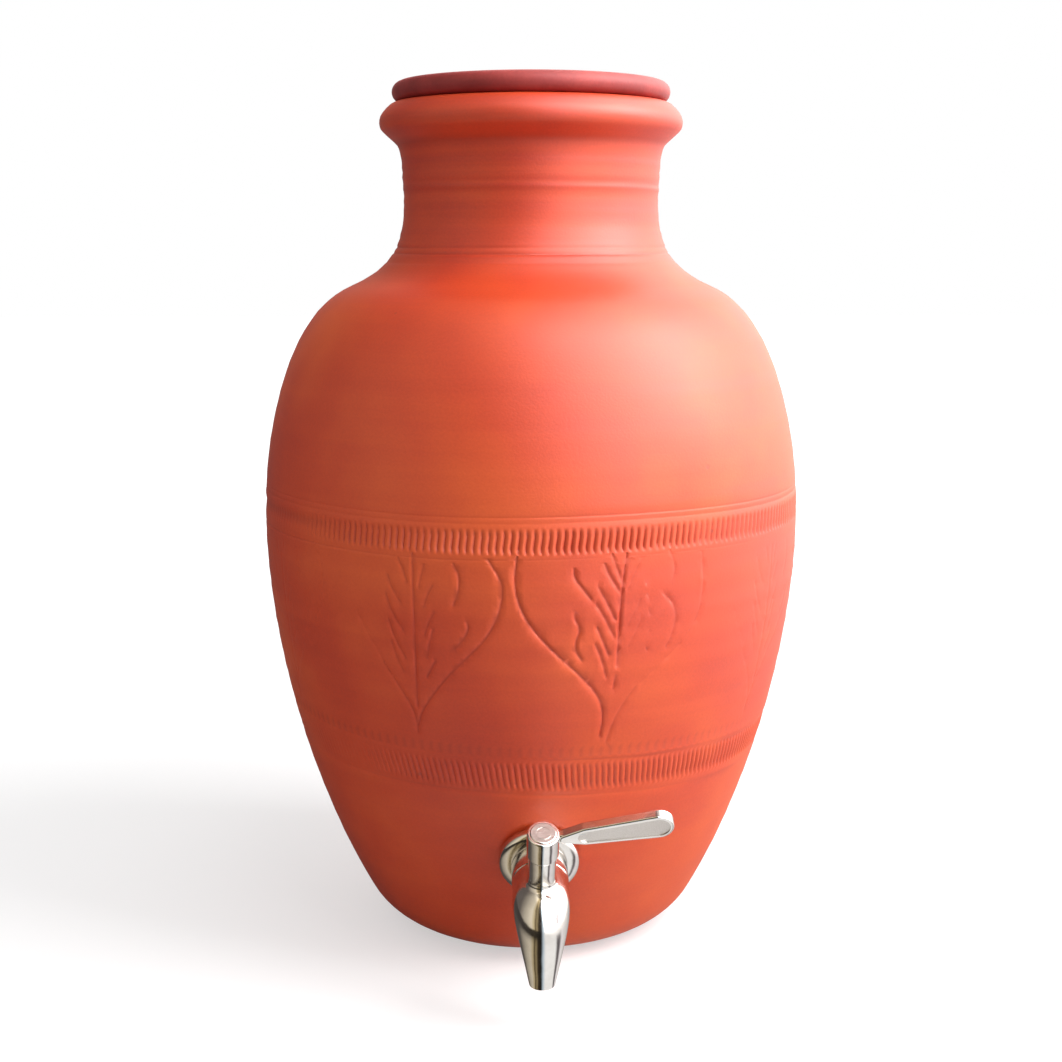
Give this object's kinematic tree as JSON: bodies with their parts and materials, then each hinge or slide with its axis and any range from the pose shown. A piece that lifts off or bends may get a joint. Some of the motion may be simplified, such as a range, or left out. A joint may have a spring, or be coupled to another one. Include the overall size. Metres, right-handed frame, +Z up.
{
  "type": "clay water pot with tap",
  "caption": "Round-bellied terracotta water pot with a rolled rim, a lift-off clay disc lid and a quarter-turn steel lever tap low on its front.",
  "frame": {"origin": "centre of the pot's foot, on the plane it stands on", "axes": "+Z up along the pot's axis; -Y is the front, where the tap is; +X is the side the shut lever points to"},
  "size_m": [0.2436, 0.2671, 0.387],
  "materials": {
    "terracotta": "unglazed, burnished to a soft sheen",
    "dark_clay": "unglazed, dark red slip",
    "polished_steel": "polished stainless steel",
    "steel": "machined stainless steel",
    "silicone": "matt translucent white silicone rubber",
    "ptfe": "white, waxy",
    "black_rubber": "matt black"
  },
  "bodies": {
    "pot_and_tap": {"pot_base": "terracotta", "pot_belly": "terracotta", "pot_neck": "terracotta", "wall_flange": "polished_steel", "outer_washer": "silicone", "inner_washer": "silicone", "steel_washer": "steel", "back_nut": "steel", "tap_shank": "steel", "tap_body": "polished_steel", "seat_ring_front": "ptfe", "seat_ring_back": "ptfe", "thrust_washer": "ptfe", "stop_pin": "steel"},
    "handle": {"lever_handle": "polished_steel", "handle_screw": "steel", "cap_button": "polished_steel", "stem": "steel", "stem_rings": "black_rubber", "valve_ball": "steel"},
    "lid": {"pot_lid": "dark_clay"}
  },
  "joints": [
    {"name": "lever_turn", "type": "hinge", "parent": "pot_and_tap", "child": "handle", "pos_m": [0, -0.11817, 0.05083], "axis": [0, 0.4927, -0.8702], "range_deg": [0, 90]},
    {"name": "lid_lift", "type": "slide", "parent": "pot_and_tap", "child": "lid", "axis": [0, 0, 1], "range_m": [0, 0.12]}
  ]
}
